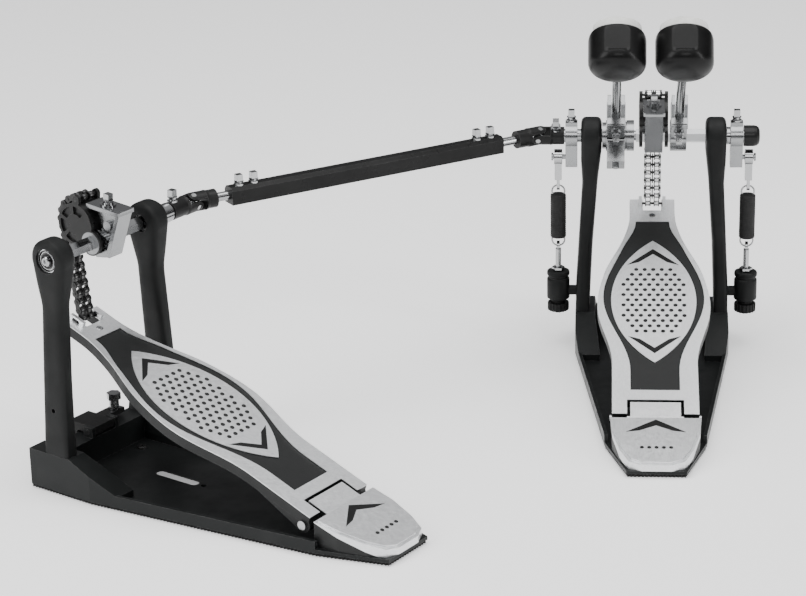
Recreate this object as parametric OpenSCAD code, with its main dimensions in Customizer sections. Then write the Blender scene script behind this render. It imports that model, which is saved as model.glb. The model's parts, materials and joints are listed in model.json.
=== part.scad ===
// Twin bass drum pedal: a right pedal that carries both beaters, a left pedal, and the
// telescopic drive shaft with two universal joints that turns the left beater.
// Each pedal's own frame: X along its axle, Y towards the drum, Z up, with its origin on
// the floor below the middle of the axle. The right pedal's frame is the model's frame.

/* [Layout] */
// Height of both axles above the floor
axle_h = 201; // [198:0.5:204]
// Left pedal's place to the left of the right pedal
left_back_x = -450.3; // [-460:0.1:-440]
// Left pedal's place behind the right pedal
left_back_y = -290.7; // [-300:0.1:-280]
// Left pedal's turn
left_yaw = 58.15; // [57:0.05:59]

/* [Frame] */
// Distance between the middles of the two bearing heads
head_gap = 112; // [111:0.5:113]
// Thickness of a bearing head along the axle
head_t = 19; // [18:0.5:20]
// Radius of a bearing head
head_r = 17.2; // [16.8:0.1:17.4]
// Width of the base at its front
base_w = 140; // [140:0.5:142]
// Width of the base where it meets the heel
base_heel_w = 86; // [86:0.5:90]
// Thickness of the rubber mat
mat_t = 3; // [2.5:0.5:3.5]
// Height of the flanges along the base
flange_h = 13; // [11:0.5:14]

/* [Footboard] */
// Slope of the footboard at rest
board_slope = 20.93; // [20.5:0.05:21.5]
// Length of the footboard along its slope
board_l = 285; // [284:0.5:286]
// Thickness of the footboard's edge
board_t = 9; // [8:0.5:10]
// Half width of the footboard at the heel end
board_heel_hw = 36.6; // [36:0.1:37]
// Half width of the footboard at the toe
board_toe_hw = 20.6; // [20:0.1:21]
// How much the footboard's belly adds to each side
board_belly = 13; // [12:0.5:13.5]

/* [Chain drive] */
// Pitch of the duplex chain
pitch = 7.2; // [7.15:0.05:7.25]
// Pitch radius of the chain wheel
wheel_r = 21.5; // [21.3:0.1:21.7]
// Chain wheel's centre ahead of the axle
wheel_y = 16; // [15.8:0.1:16.2]
// Chain wheel's centre above the axle
wheel_z = 13; // [12.8:0.1:13.2]
// Lean of the hanging chain at rest
chain_lean = 9.4; // [9.2:0.1:9.6]

/* [Beaters] */
// Lean of the beater shafts from upright at rest
beater_lean = 50; // [48:0.5:52]
// Distance from the axle to the middle of a beater head
beater_reach = 180; // [178:0.5:184]
// Radius of a beater shaft
shaft_r = 4; // [3.9:0.05:4]
// Radius of a beater head
beater_r = 24.5; // [24:0.5:25]

/* [Springs] */
// Distance of the spring pin from the axle
spring_arm = 20; // [19.5:0.5:20.5]
// Distance of the springs from the middle of the right pedal
spring_x = 86; // [85.5:0.5:86.5]
// Height of the tension pivots
tension_z = 58; // [57.5:0.5:58.5]

/* [Drive shaft] */
// Universal joint's place beyond the left pedal's middle
left_joint_x = 113; // [112.5:0.5:113.5]
// Universal joint's place left of the right pedal's middle
right_joint_x = -104; // [-104.5:0.5:-103.5]
// Length of the black channel
channel_l = 271; // [268:1:274]
// Width of the black channel
channel_w = 15; // [14:0.5:16]

/* [Hidden] */
$fn = 48;
eps = 0.03;          // running clearance of pins and journals
over = 1;            // how far a cutting tool passes a face

// --- Frame ---
base_front_y = 30;   // front edge of the base
base_taper_y = -35;  // where the base starts to narrow
base_heel_y = -245;  // where the heel block starts
heel_end_y = -303;   // back edge of the base
heel_end_hw = 25;    // half width of the base's back edge
plate_t = 3;         // thickness of the base plate
flange_t = 3;
base_z = mat_t + plate_t;
foot_h = 35;         // height of the post feet
bar_y0 = 10;         // crossbar between the feet
bar_y1 = 30;
bar_top = 28;
bearing_r = 10.3;
bearing_w = 14;
bearing_x0 = head_gap / 2 - bearing_w / 2;
journal_r = 5.5;
tube_r = 6;          // slave tube through the right pedal's left bearing

// --- Footboard: points are (across, along the slope, above the top face) ---
board_y = -236.2;    // heel end of the top face
board_z = 28.6;
hinge_s = 4;         // hinge pin along the slope
hinge_n = -10;       // hinge pin below the top face
hinge_r = 3;
hinge_y = board_y + hinge_s * cos(board_slope) - hinge_n * sin(board_slope);
hinge_z = board_z + hinge_s * sin(board_slope) + hinge_n * cos(board_slope);
inlay_d = 1.2;       // depth of the footboard's inlay
belly_s = 138;       // widest place of the footboard
notch_hw = 24;       // notch for the heel's tongue
notch_l = 17;
tongue_hw = 21.2;
tongue_s = 14;        // tongue's tip along the slope
heel_top_slope = 13.8;

// --- Chain drive ---
wheel_c = [wheel_y, axle_h + wheel_z];
link_angle = 2 * asin(pitch / 2 / wheel_r);
first_angle = link_angle / 2 - chain_lean;
run_links = 12;
wheel_hub_r = 17.4;
cheek_x = 10;        // inner face of the wheel's cheeks
cheek_t = 3;
pin_r = 1.15;
roller_r = 2.4;
strand_x = 3.8;      // middle of each strand of the duplex chain
hex_r = 11 / 2 / cos(30);

// --- Springs ---
pin_z = axle_h - spring_arm;
spring_pin_r = 2.2;
sleeve_r = 7.4;
sleeve_z0 = 104;
sleeve_z1 = 145.5;
coil_wire = 1.5;
holder_r = 10.5;
holder_z0 = 44.5;
holder_z1 = 71.5;

// --- Drive shaft ---
left_joint = [left_back_x + left_joint_x * cos(left_yaw), left_back_y + left_joint_x * sin(left_yaw)];
span = [right_joint_x - left_joint[0], -left_joint[1]];
span_l = norm(span);
shaft_yaw = atan2(span[1], span[0]);
axle_stroke = 50;    // turn of either axle from rest to a full stroke
left_phase = axle_stroke / 2;
shaft_phase = atan(tan(left_phase) / cos(left_yaw - shaft_yaw));
right_phase = atan(tan(shaft_phase) * cos(shaft_yaw));
left_tilt = -atan(tan(left_yaw - shaft_yaw) * sin(left_phase));
right_tilt = atan(tan(shaft_yaw) * sin(right_phase));
yoke_r = 8;
arm_in = 5.4;        // inner face of a fork arm
arm_t = 3.2;
cross_pin_r = 2.2;

// --- Hoop clamp ---
jaw_y = 15;          // pivot of the upper jaw
jaw_z = 33;
jaw_hw = 11.8;
hoop_bolt = [28, 25];

// ---------------------------------------------------------------- helpers
function smooth(t) = let (u = min(1, max(0, t))) u * u * (3 - 2 * u);
function bell(t) = abs(t) < 1 ? (cos(180 * t) + 1) / 2 : 0;
function board_hw(s) = board_heel_hw
    - (board_heel_hw - board_toe_hw) * smooth((s - 180) / 82)
    + board_belly * bell((s - belly_s) / (s < belly_s ? 75 : 90));
function inlay_hw(s) = 21 - 5.8 * smooth((s - 215) / 37)
    + 23.5 * bell((s - 148) / (s < 148 ? 95 : 102));
function link_pin(j) = [wheel_c[0] + wheel_r * cos(first_angle + j * link_angle),
                        wheel_c[1] + wheel_r * sin(first_angle + j * link_angle)];
function toe_pin() = [link_pin(0)[0] - run_links * pitch * sin(chain_lean),
                      link_pin(0)[1] - run_links * pitch * cos(chain_lean)];

// Draws in the left pedal's frame when left is true
module pedal(left) {
    if (left) translate([left_back_x, left_back_y, 0]) rotate(left_yaw) children();
    else children();
}
// Extrudes a side outline drawn as (y, z) from x0 to x1
module side_plate(x0, x1) {
    translate([x0, 0, 0]) rotate([90, 0, 90]) linear_extrude(x1 - x0) children();
}
// A round bar along X
module x_bar(r, x0, x1, y = 0, z = 0, fn = 48) {
    translate([x0, y, z]) rotate([0, 90, 0]) cylinder(r = r, h = x1 - x0, $fn = fn);
}
// Draws in the footboard's frame
module on_board() {
    translate([0, board_y, board_z]) rotate([board_slope, 0, 0]) children();
}
// Draws in a beater's frame: Z along the beater shaft, Y towards the drum
module on_beater(x) {
    translate([x, 0, axle_h]) rotate([beater_lean, 0, 0]) children();
}
// A square-headed key bolt that points up from its seat
module key_bolt(stem = 3, head = 8) {
    cylinder(r = 4.6, h = 1.5);
    cylinder(r = 2.4, h = stem + 1.5);
    translate([0, 0, stem + 1.5]) cylinder(r1 = 3.6, r2 = 4.2, h = 2);
    translate([-2.8, -2.8, stem + 3.5]) cube([5.6, 5.6, head]);
}

// ---------------------------------------------------------------- base
function base_points(d) = let (f = base_w / 2 - d, h = base_heel_w / 2 - d, e = heel_end_hw - d) [
    [-f, base_front_y], [-f, base_taper_y], [-h, base_heel_y], [-e, heel_end_y],
    [e, heel_end_y], [h, base_heel_y], [f, base_taper_y], [f, base_front_y]];

// Foot of the post on side s, sloping down to the rear
module foot(s) {
    intersection() {
        hull() {
            translate([s > 0 ? 52 : -base_w / 2, -14, mat_t])
                cube([base_w / 2 - 52, base_front_y + 14, foot_h - mat_t]);
            translate([s > 0 ? 47 : -base_w / 2, -62, mat_t])
                cube([base_w / 2 - 47, base_front_y + 62, 9]);
        }
        linear_extrude(foot_h + over) polygon(base_points(0));
    }
}
module base_body() {
    difference() {
        translate([0, 0, mat_t]) linear_extrude(plate_t) polygon(base_points(0));
        translate([0, -50, 0]) slot_tool(4.2, 36);
        translate([0, -96, 0]) cylinder(r = 2.6, h = 20);
        for (x = [-30, 30]) translate([x, -2, 0]) cylinder(r = 2.6, h = 20);
    }
    intersection() {
        translate([0, 0, mat_t]) linear_extrude(flange_h - mat_t)
            difference() {
                polygon(base_points(0));
                polygon(base_points(flange_t));
            }
        translate([-100, base_heel_y, 0]) cube([200, base_taper_y - base_heel_y, 50]);
    }
    foot(1);
    foot(-1);
    difference() {
        translate([-53, bar_y0, mat_t]) cube([106, bar_y1 - bar_y0, bar_top - mat_t]);
        translate([hoop_bolt[0], hoop_bolt[1], base_z]) cylinder(r = 3, h = 40);
    }
    translate([-24, base_front_y - over, mat_t]) cube([48, 27, 5]);
    for (x = [-jaw_hw - 4.2, jaw_hw + 0.2]) translate([x, bar_y0, bar_top - over]) jaw_lug();
}
// A long slot that starts at the origin and runs towards the heel
module slot_tool(r, l) {
    translate([-r, -l, -over]) cube([2 * r, l, 30]);
    for (y = [0, -l]) translate([0, y, -over]) cylinder(r = r, h = 30);
}
module jaw_lug() {
    difference() {
        cube([4, 10, 10]);
        x_bar(2.03, -over, 5, jaw_y - bar_y0, jaw_z - bar_top + over);
    }
}
module base(left) {
    color([0.13, 0.14, 0.14]) pedal(left) base_body();
}
module mat(left) {
    color([0.07, 0.07, 0.07]) pedal(left) linear_extrude(mat_t) polygon(base_points(1));
}

// ---------------------------------------------------------------- heel
module heel_outline(d) {
    polygon([[-38 + d, base_heel_y + 4 - d], [-36.5 + d, -262], [-30.4 + d, -284], [-23 + d, -299 + d],
             [-12, -303.5 + d], [12, -303.5 + d], [23 - d, -299 + d], [30.4 - d, -284],
             [36.5 - d, -262], [38 - d, base_heel_y + 4 - d]]);
}
// Everything above the heel plate's slope, lowered by d
module above_heel(d) {
    translate([-60, board_y - 5.6, board_z - 0.3 - d]) rotate([heel_top_slope, 0, 0])
        translate([0, -90, 0]) cube([120, 110, 60]);
}
module heel(left) {
    color([0.75, 0.76, 0.76]) pedal(left) difference() {
        union() {
            difference() {
                translate([0, 0, base_z]) linear_extrude(40) heel_outline(0);
                above_heel(1.6);
            }
            difference() {
                translate([0, 0, base_z]) linear_extrude(40) heel_outline(2.2);
                above_heel(0);
            }
            heel_tongue();
        }
        x_bar(hinge_r, -60, 60, hinge_y, hinge_z);
    }
}
module heel_tongue() {
    tip = [board_y + tongue_s * cos(board_slope), board_z + tongue_s * sin(board_slope)];
    under = tip + 9 * [sin(board_slope), -cos(board_slope)];
    side_plate(-tongue_hw, tongue_hw)
        polygon([[-243.5, base_z], [-236, base_z], [hinge_y + 3, hinge_z - 7.2], under, tip,
                 [board_y - 5.5, board_z - 2.1], [-243.5, board_z - 3]]);
}
module hinge_pins() {
    color([0.8, 0.8, 0.8]) for (left = [false, true]) pedal(left) {
        x_bar(hinge_r, -37, 37, hinge_y, hinge_z);
        for (s = [-1, 1]) x_bar(3.8, s > 0 ? 37 : -38.6, s > 0 ? 38.6 : -37, hinge_y, hinge_z);
    }
}

// ---------------------------------------------------------------- posts
// Front outline of the post at +X, drawn as (x, z)
function post_front() = let (m = head_gap / 2, h = head_t / 2) [
    [57, foot_h], [69.8, foot_h], [69.6, 60], [64.2, 158], [m + h, 184], [m + h, 230],
    [m - h, 230], [m - h, 190], [50.2, 158], [54.5, 100]];
// Side outline of a post, drawn as (y, z)
module post_side() {
    translate([0, axle_h]) circle(r = head_r);
    polygon([[-13, foot_h], [13, foot_h], [11, 162], [16.4, 194], [-16.4, 194], [-11, 162]]);
}
module post() {
    difference() {
        intersection() {
            translate([0, 30, 0]) rotate([90, 0, 0]) linear_extrude(60) polygon(post_front());
            side_plate(40, 80) post_side();
        }
        x_bar(bearing_r, bearing_x0, 80, 0, axle_h);
        x_bar(7.4, 40, 50, 0, axle_h);
        x_bar(2, 60, 80, 0, 74);
    }
}
// Arm and round housing that take a spring's tension rod
module tension_holder() {
    difference() {
        union() {
            x_bar(4.6, 68, spring_x - 6, 0, 52);
            translate([spring_x, 0, holder_z0]) rotate_extrude() polygon([
                [0, 0], [holder_r - 1, 0], [holder_r, 1], [holder_r, 19], [holder_r - 1.2, 20.5],
                [holder_r - 1.2, 22], [holder_r, 23], [holder_r, 26], [holder_r - 1.5, 27], [0, 27]]);
        }
        translate([spring_x, 0, 30]) cylinder(r = 4.6, h = 60);
    }
}
module posts(left) {
    color([0.12, 0.13, 0.13]) pedal(left) for (s = [0, 1]) mirror([s, 0, 0]) {
        post();
        if (!left) tension_holder();
    }
}
module bearing(bore) {
    w = bearing_w;
    translate([bearing_x0, 0, axle_h]) rotate([0, 90, 0]) rotate_extrude() polygon([
        [bore + eps, 0], [bore + 1.8, 0], [bore + 2, 1], [bearing_r - 1.8, 1], [bearing_r - 1.6, 0],
        [bearing_r, 0], [bearing_r, w], [bearing_r - 1.6, w], [bearing_r - 1.8, w - 1],
        [bore + 2, w - 1], [bore + 1.8, w], [bore + eps, w]]);
}
module axle_bearings() {
    color([0.6, 0.61, 0.62]) {
        bearing(journal_r);
        mirror([1, 0, 0]) bearing(tube_r);
        pedal(true) for (s = [0, 1]) mirror([s, 0, 0]) bearing(journal_r);
    }
}

// ---------------------------------------------------------------- footboard
function edge_points(n, s0, s1, inlay) = [for (i = [0 : n]) let (s = s0 + (s1 - s0) * i / n)
    [inlay ? inlay_hw(s) : board_hw(s), s]];
function both_sides(p) = concat(p, [for (i = [len(p) - 1 : -1 : 0]) [-p[i][0], p[i][1]]]);

module board_outline() {
    difference() {
        polygon(both_sides(edge_points(38, 0, board_l, false)));
        translate([-notch_hw, -over]) square([2 * notch_hw, notch_l + over]);
        translate([-8.6, 269]) square([17.2, 30]);
    }
}
module inlay_outline() {
    polygon(both_sides(edge_points(30, 29, 253, true)));
}
// Pointed panel in the middle of the inlay: two arcs that meet at its ends
module lens_outline() {
    half_l = 81;
    half_w = 37.4;
    r = (half_l * half_l + half_w * half_w) / (2 * half_w);
    intersection() {
        translate([r - half_w, 144.5]) circle(r = r, $fn = 96);
        translate([half_w - r, 144.5]) circle(r = r, $fn = 96);
    }
}
// The hollow below the footboard's top skin
module board_hollow() {
    polygon(both_sides([for (i = [0 : 24]) let (s = 26 + 240 * i / 24) [board_hw(s) - 3.5, s]]));
}
module board_lug(s) {
    x0 = s > 0 ? notch_hw : -board_heel_hw + 0.2;
    x1 = s > 0 ? board_heel_hw - 0.2 : -notch_hw;
    side_plate(x0, x1) union() {
        translate([hinge_s, hinge_n]) circle(r = 6.5);
        polygon([[0, -4], [hinge_s - 6.5, hinge_n], [hinge_s, hinge_n - 6.5], [60, -8], [60, -4]]);
    }
}
module board_body() {
    difference() {
        union() {
            translate([0, 0, -board_t]) linear_extrude(board_t) board_outline();
            board_lug(1);
            board_lug(-1);
            for (x = [-12.4, 9.4]) translate([x, 270, -board_t]) cube([3, 15, board_t + 4]);
        }
        translate([0, 0, -board_t - over]) linear_extrude(board_t - 3.2 + over) board_hollow();
        translate([0, 0, -inlay_d]) linear_extrude(3) difference() {
            inlay_outline();
            lens_outline();
        }
        x_bar(hinge_r + eps, -60, 60, hinge_s, hinge_n);
        toe_slot();
        translate([0, 262, -20]) cylinder(r = 1.8, h = 30);
        translate([0, 262, -1]) cylinder(r = 3, h = 3);
    }
}
// Long hole in the toe's ears: the chain's last pin has play in it
module toe_slot() {
    s = (toe_pin()[0] - board_y) * cos(board_slope) + (toe_pin()[1] - board_z) * sin(board_slope);
    n = (toe_pin()[1] - board_z) * cos(board_slope) - (toe_pin()[0] - board_y) * sin(board_slope);
    play = 2.3;
    ear = 12.45;
    for (d = [-play, play]) x_bar(pin_r + 0.55, -ear, ear, s + d, n);
    translate([-ear, s - play, n - pin_r - 0.55]) cube([2 * ear, 2 * play, 2 * pin_r + 1.1]);
}
module footboard(left) {
    color([0.78, 0.79, 0.8]) pedal(left) on_board() board_body();
}

// ---------------------------------------------------------------- axles
module right_axle() {
    color([0.8, 0.81, 0.82]) translate([0, 0, axle_h]) {
        x_bar(4.5, -41, -15);
        x_bar(hex_r, -16, 46.8, fn = 6);
        x_bar(journal_r, 46.8, 90);
        x_bar(8, 65.8, 68.7);
    }
}
module left_axle() {
    color([0.8, 0.81, 0.82]) pedal(true) translate([0, 0, axle_h]) {
        x_bar(hex_r, -46.8, 46.8, fn = 6);
        x_bar(journal_r, -63.5, -46.8);
        x_bar(journal_r, 46.8, 98);
        rotate([0, -90, 0]) translate([0, 0, 63.5]) rotate_extrude() polygon([
            [0, -1], [4.2, -1], [4.2, 1.4], [3.2, 2.2], [1.8, 2.2], [1.8, 1], [0, 1]]);
        x_bar(8.4, 66.2, 80.5);
    }
}

module chain_wheel(left) {
    color([0.1, 0.1, 0.1]) pedal(left) difference() {
        union() {
            for (x = [-cheek_x - cheek_t, cheek_x]) side_plate(x, x + cheek_t) cheek_outline();
            side_plate(-cheek_x, cheek_x) translate(wheel_c) circle(r = wheel_hub_r);
            for (x = [-strand_x, strand_x]) side_plate(x - 1.1, x + 1.1) wheel_teeth();
        }
        x_bar(hex_r + 0.02, -20, 20, 0, axle_h, 6);
        for (s = [-1, 1]) translate([s > 0 ? cheek_x + 1 : -cheek_x - cheek_t - over, 0, 0])
            side_plate(0, cheek_t) wheel_pockets();
        x_bar(pin_r + eps, -20, 20, link_pin(5)[0], link_pin(5)[1]);
    }
}
module cheek_outline() {
    translate(wheel_c) circle(r = 18);
    translate([0, axle_h]) circle(r = 10.5);
    translate(link_pin(5)) circle(r = 3.4);
    translate(wheel_c) rotate(first_angle + 5 * link_angle) translate([12, -3.4])
        square([wheel_r - 12, 6.8]);
}
// Sunk sectors on the outer face of each cheek
module wheel_pockets() {
    translate(wheel_c) for (a = [-70 : 60 : 110]) rotate(a)
        intersection() {
            difference() {
                circle(r = 15.6);
                circle(r = 9);
            }
            polygon([[0, 0], [30, -13], [30, 13]]);
        }
}
module wheel_teeth() {
    translate(wheel_c) for (j = [0 : 4]) rotate(first_angle + (j + 0.5) * link_angle)
        polygon([[16, -1.6], [19.4, -0.9], [21.8, -0.35], [21.8, 0.35], [19.4, 0.9], [16, 1.6]]);
}

// Clamp that fixes the chain wheel and the end of the chain to the axle
module cam_clamp(left) {
    color([0.76, 0.78, 0.79]) pedal(left) difference() {
        union() {
            side_plate(-9.6, 9.6) polygon([[-29, 227], [5, 230], [5, 233.4], [-29, 230.4]]);
            side_plate(-7.9, 7.9) {
                polygon([[-29.5, 230.4], [-26, 230.4], [-11, 191], [-14.6, 189.4]]);
                translate([0, axle_h]) circle(r = 11);
                polygon([[-14.2, 190], [-1, 188], [3, 192], [-10, 204]]);
            }
            side_plate(-5, 5) polygon([[-24, 228], [3, 230.5], [5, 206], [-14, 194]]);
            for (q = [[-15, 217], [-10, 204]]) x_bar(4, -8.2, 8.2, q[0], q[1]);
        }
        x_bar(hex_r + 0.02, -20, 20, 0, axle_h, 6);
        side_plate(-20, 20) translate(wheel_c) circle(r = wheel_hub_r + 0.2);
        side_plate(-4.9 - 1.2, 4.9 + 1.2) translate(wheel_c) circle(r = 22);
    }
}

// ---------------------------------------------------------------- chain
// One link between two points, drawn in the (y, z) plane
module link_plate(a, b, x0, x1) {
    d = b - a;
    turn = atan2(d[1], d[0]);
    side_plate(x0, x1) union() {
        translate(a) circle(r = 3, $fn = 24);
        translate(b) circle(r = 3, $fn = 24);
        translate(a) rotate(turn) translate([0, -2.2]) square([norm(d), 4.4]);
    }
}
// Inner link: four plates and its four rollers
module inner_link(a, b) {
    difference() {
        union() {
            for (x = [-6.4, -2.2, 1.4, 5.6]) link_plate(a, b, x, x + 0.8);
            for (q = [a, b]) for (s = [-1, 1]) x_bar(roller_r, s * strand_x - 2, s * strand_x + 2, q[0], q[1], 24);
        }
        for (q = [a, b]) x_bar(pin_r + 0.06, -9, 9, q[0], q[1], 24);
    }
}
// Outer link: three plates and its two pins
module outer_link(a, b) {
    for (x = [-7.5, -0.5, 6.7]) link_plate(a, b, x, x + (abs(x) < 1 ? 1 : 0.8));
    for (q = [a, b]) x_bar(pin_r, -7.9, 7.9, q[0], q[1], 24);
}
module chain_wrap(left) {
    color([0.35, 0.36, 0.36]) pedal(left) {
        inner_link(link_pin(2), link_pin(3));
        outer_link(link_pin(3), link_pin(4));
        inner_link(link_pin(4), link_pin(5));
        x_bar(pin_r, -cheek_x - cheek_t, cheek_x + cheek_t, link_pin(5)[0], link_pin(5)[1], 24);
    }
}
module chain_upper_link(left) {
    color([0.35, 0.36, 0.36]) pedal(left) outer_link(link_pin(1), link_pin(2));
}
module chain_lower_link(left) {
    color([0.35, 0.36, 0.36]) pedal(left) inner_link(link_pin(0), link_pin(1));
}
module chain_run(left) {
    top = link_pin(0);
    down = [-sin(chain_lean), -cos(chain_lean)] * pitch;
    color([0.35, 0.36, 0.36]) pedal(left) {
        for (i = [0 : 2 : run_links - 1]) {
            outer_link(top + i * down, top + (i + 1) * down);
            inner_link(top + (i + 1) * down, top + (i + 2) * down);
        }
        x_bar(pin_r, -12.3, 12.3, toe_pin()[0], toe_pin()[1], 24);
    }
}

// ---------------------------------------------------------------- beaters
beater_x = [-34, 22];          // middle of the left and right beater
module rod_holder(w) {
    translate([-w / 2, -8.5, 0]) cube([w, 19, 46]);
    translate([-w / 2 - 0.6, -9.5, 37]) cube([w + 1.2, 22.5, 8]);
    for (s = [-1, 1]) side_plate(s > 0 ? 4.4 : -w / 2, s > 0 ? w / 2 : -4.4)
        polygon([[-3, 45], [15, 44], [17, 52], [13, 60], [4, 60]]);
}
module right_beater_hub() {
    color([0.78, 0.79, 0.8]) on_beater(beater_x[1]) difference() {
        union() {
            x_bar(14, -7.2, 7.2);
            rod_holder(14);
        }
        x_bar_hex();
        translate([0, 0, 8.5]) cylinder(r = shaft_r + eps, h = 60);
    }
}
// Hexagonal hole that stays square to the pedal while the hub leans back
module x_bar_hex() {
    rotate([-beater_lean, 0, 0]) x_bar(hex_r + 0.02, -20, 20, fn = 6);
}
module slave_beater_hub() {
    color([0.78, 0.79, 0.8]) {
        on_beater(beater_x[0]) difference() {
            union() {
                x_bar(14, -9, 9);
                rod_holder(15.6);
                translate([-8, -30, -6]) cube([16, 20, 17]);
                translate([0, -30, 2.5]) rotate([90, 0, 0]) cylinder(r = 3, h = 3, $fn = 6);
                x_bar(14, 9.6, 16.4);
                x_bar(12.5, 9, 9.6);
                x_bar(12, -12.2, -9);
            }
            x_bar(4.5 + eps, -8.5, 20);
            translate([0, 0, 8.5]) cylinder(r = shaft_r + eps, h = 60);
        }
        translate([0, 0, axle_h]) x_bar(tube_r, -89.7, -46);
    }
}
module beater_shaft(i) {
    color([0.85, 0.86, 0.87]) on_beater(beater_x[i]) {
        translate([0, 0, 15]) cylinder(r = shaft_r, h = beater_reach - 15 + 8);
    }
}
// Half profile of the beater's cup, drawn as (radius, distance towards the drum)
function cup_profile() = concat(
    [for (i = [0 : 10]) let (a = 90 * i / 10) [beater_r * pow(sin(a), 0.6), -23 + 13 * (1 - pow(cos(a), 0.8))]],
    [[beater_r, 8], [beater_r - 0.6, 12.5], [beater_r - 2, 15]]);
module beater_core(i) {
    color([0.08, 0.08, 0.08]) on_beater(beater_x[i]) translate([0, 0, beater_reach]) difference() {
        rotate([-90, 0, 0]) rotate_extrude() polygon(concat(cup_profile(), [[0, 15]]));
        rotate([-90, 0, 0]) translate([0, 0, 11]) cylinder(r = beater_r - 3.4, h = 10);
        translate([0, 0, -40]) cylinder(r = shaft_r, h = 48);
    }
}
module beater_felt(i) {
    r = beater_r - 3.5;
    color([0.93, 0.93, 0.91]) on_beater(beater_x[i]) translate([0, 0, beater_reach])
        rotate([-90, 0, 0]) rotate_extrude() polygon([
            [0, 11.1], [r, 11.1], [r, 20.5], [r - 0.8, 22.3], [r - 2.8, 23.2], [0, 24]]);
}

// ---------------------------------------------------------------- spring levers
module lever_body(x0, x1, bore) {
    difference() {
        side_plate(x0, x1) union() {
            translate([0, axle_h]) circle(r = 11.6);
            polygon([[-9.5, axle_h - 4], [9.5, axle_h - 4], [6.5, pin_z - 8], [-6.5, pin_z - 8]]);
            polygon([[-5, axle_h], [5, axle_h], [5, axle_h + 13.5], [-5, axle_h + 13.5]]);
        }
        x_bar(bore, 0, 200, 0, axle_h);
    }
    x_bar(spring_pin_r, x1, spring_x + 4.6, 0, pin_z);
    x_bar(3.6, spring_x + 4.6, spring_x + 6.2, 0, pin_z);
}
module right_spring_lever() {
    color([0.77, 0.78, 0.79]) lever_body(69, 80, journal_r);
}
module slave_spring_lever() {
    color([0.77, 0.78, 0.79]) mirror([1, 0, 0]) lever_body(68.6, 79.4, tube_r);
}
module right_axle_cap() {
    color([0.1, 0.1, 0.1]) translate([81, 0, axle_h]) rotate([0, 90, 0]) difference() {
        rotate_extrude() polygon([[0, 0], [9.5, 0], [9.5, 9], [9, 11.5], [7.5, 13.4], [5, 14.3], [0, 14.6]]);
        translate([0, 0, -over]) cylinder(r = journal_r, h = 10);
    }
}

// ---------------------------------------------------------------- key bolts
module cam_bolt() {
    translate([0, -10, 232.12]) rotate([atan2(3, 34), 0, 0]) {
        cylinder(r = 6.6, h = 1.2);
        translate([0, 0, 1.2]) key_bolt(0, 5);
    }
}
module hub_bolt(i) {
    on_beater(beater_x[i]) translate([0, -8.5, 27]) rotate([90, 0, 0]) key_bolt(1, 6);
}
module right_key_bolts() {
    color([0.82, 0.83, 0.84]) {
        cam_bolt();
        hub_bolt(1);
        translate([74.5, 0, axle_h + 13.5]) key_bolt(1, 6.5);
    }
}
module slave_key_bolts() {
    color([0.82, 0.83, 0.84]) {
        hub_bolt(0);
        translate([-74, 0, axle_h + 13.5]) key_bolt(1, 6.5);
        translate([-88, 0, axle_h]) rotate([right_phase, 0, 0]) translate([0, 0, yoke_r - 0.6]) key_bolt(1, 6);
    }
}
module left_key_bolts() {
    color([0.82, 0.83, 0.84]) pedal(true) {
        cam_bolt();
        translate([88, 0, axle_h]) translate([0, 0, yoke_r - 0.6]) key_bolt(1, 6);
    }
}

// ---------------------------------------------------------------- universal joints
// Fork with its socket at -X and its arms at +Y and -Y; the joint's centre is the origin
module yoke(socket_l, bore) {
    difference() {
        union() {
            x_bar(yoke_r, -12 - socket_l, -13.5);
            translate([-13.5, 0, 0]) rotate([0, 90, 0]) cylinder(r1 = yoke_r, r2 = yoke_r + 0.7, h = 2.6);
            intersection() {
                translate([-11.5, -20, -4.8]) cube([11.5, 40, 9.6]);
                x_bar(arm_in + arm_t, -14, 10);
            }
            intersection() {
                translate([0, 20, 0]) rotate([90, 0, 0]) cylinder(r = 4.8, h = 40);
                x_bar(arm_in + arm_t, -14, 10);
            }
        }
        translate([-10.9, -arm_in, -10]) cube([30, 2 * arm_in, 20]);
        x_bar(bore, -20 - socket_l, -14.2);
        translate([0, 20, 0]) rotate([90, 0, 0]) cylinder(r = cross_pin_r + 0.25, h = 40);
    }
}
module joint_cross() {
    intersection() {
        translate([-4.6, -4.6, -4.6]) cube(9.2);
        sphere(r = 6.4, $fn = 32);
    }
    translate([0, arm_in + arm_t - 0.4, 0]) rotate([90, 0, 0]) cylinder(r = cross_pin_r, h = 2 * (arm_in + arm_t - 0.4));
    translate([0, 0, -arm_in - arm_t + 0.4]) cylinder(r = cross_pin_r, h = 2 * (arm_in + arm_t - 0.4));
}
module at_left_joint() {
    pedal(true) translate([left_joint_x, 0, axle_h]) rotate([left_phase, 0, 0]) children();
}
module at_right_joint() {
    translate([right_joint_x, 0, axle_h]) rotate([right_phase, 0, 0]) children();
}
module left_joint_cross() {
    color([0.8, 0.81, 0.82]) at_left_joint() rotate([0, left_tilt, 0]) joint_cross();
}
module right_joint_cross() {
    color([0.8, 0.81, 0.82]) at_right_joint() rotate([0, right_tilt, 0]) joint_cross();
}
module left_yoke() {
    color([0.1, 0.1, 0.1]) at_left_joint() yoke(18, journal_r);
}
module slave_yoke() {
    color([0.1, 0.1, 0.1]) at_right_joint() rotate(180) yoke(11.5, tube_r);
}

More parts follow.
